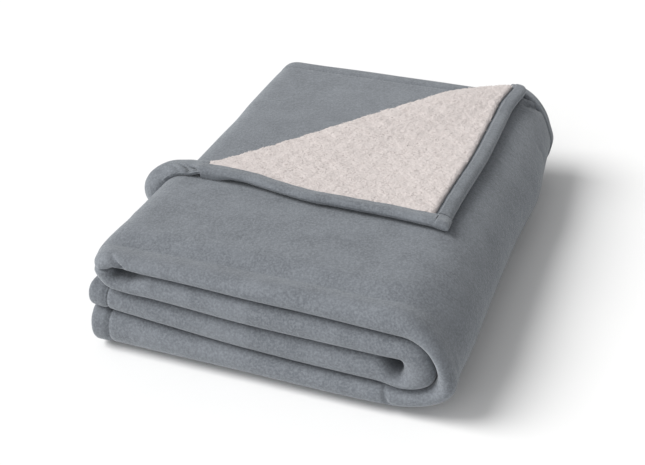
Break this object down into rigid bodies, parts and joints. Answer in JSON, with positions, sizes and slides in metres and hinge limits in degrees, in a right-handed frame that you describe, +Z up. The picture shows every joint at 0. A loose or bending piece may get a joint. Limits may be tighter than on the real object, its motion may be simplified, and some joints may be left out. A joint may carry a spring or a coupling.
{
  "type": "folded throw blanket",
  "caption": "Soft throw folded into a thick rectangular stack, with one corner turned over to show its fluffy lining.",
  "frame": {"origin": "middle of the underside, on the surface that the folded throw rests on", "axes": "+X across the stack to the right, +Y from the front folds to the back, +Z up"},
  "size_m": [0.3314, 0.45, 0.112],
  "materials": {
    "fleece": "short brushed nap, matte with a soft sheen",
    "sherpa": "long curly pile, matte",
    "hem_fleece": "short brushed nap, matte with a soft sheen",
    "thread": "matte polyester thread"
  },
  "bodies": {
    "stack": {"face_fleece": "fleece", "sherpa_lining": "sherpa", "long_hem": "hem_fleece", "long_hem_stitching": "thread", "lower_end_hem": "hem_fleece", "lower_end_stitching": "thread", "upper_end_hem": "hem_fleece", "upper_end_stitching": "thread", "draped_edge": "hem_fleece", "top_ply_fleece": "fleece", "top_ply_lining": "sherpa", "top_ply_end_hem": "hem_fleece", "top_ply_back_hem": "hem_fleece"},
    "turned_corner": {"corner_fleece": "fleece", "corner_lining": "sherpa", "corner_long_hem": "hem_fleece", "corner_short_hem": "hem_fleece", "corner_tuck": "hem_fleece", "corner_long_stitching": "thread", "corner_short_stitching": "thread"}
  },
  "joints": [
    {"name": "corner_fold", "type": "hinge", "parent": "stack", "child": "turned_corner", "pos_m": [-0.113, -0.072, 0.1041], "axis": [-0.6129, -0.7902, 0], "range_deg": [0, 145]}
  ]
}
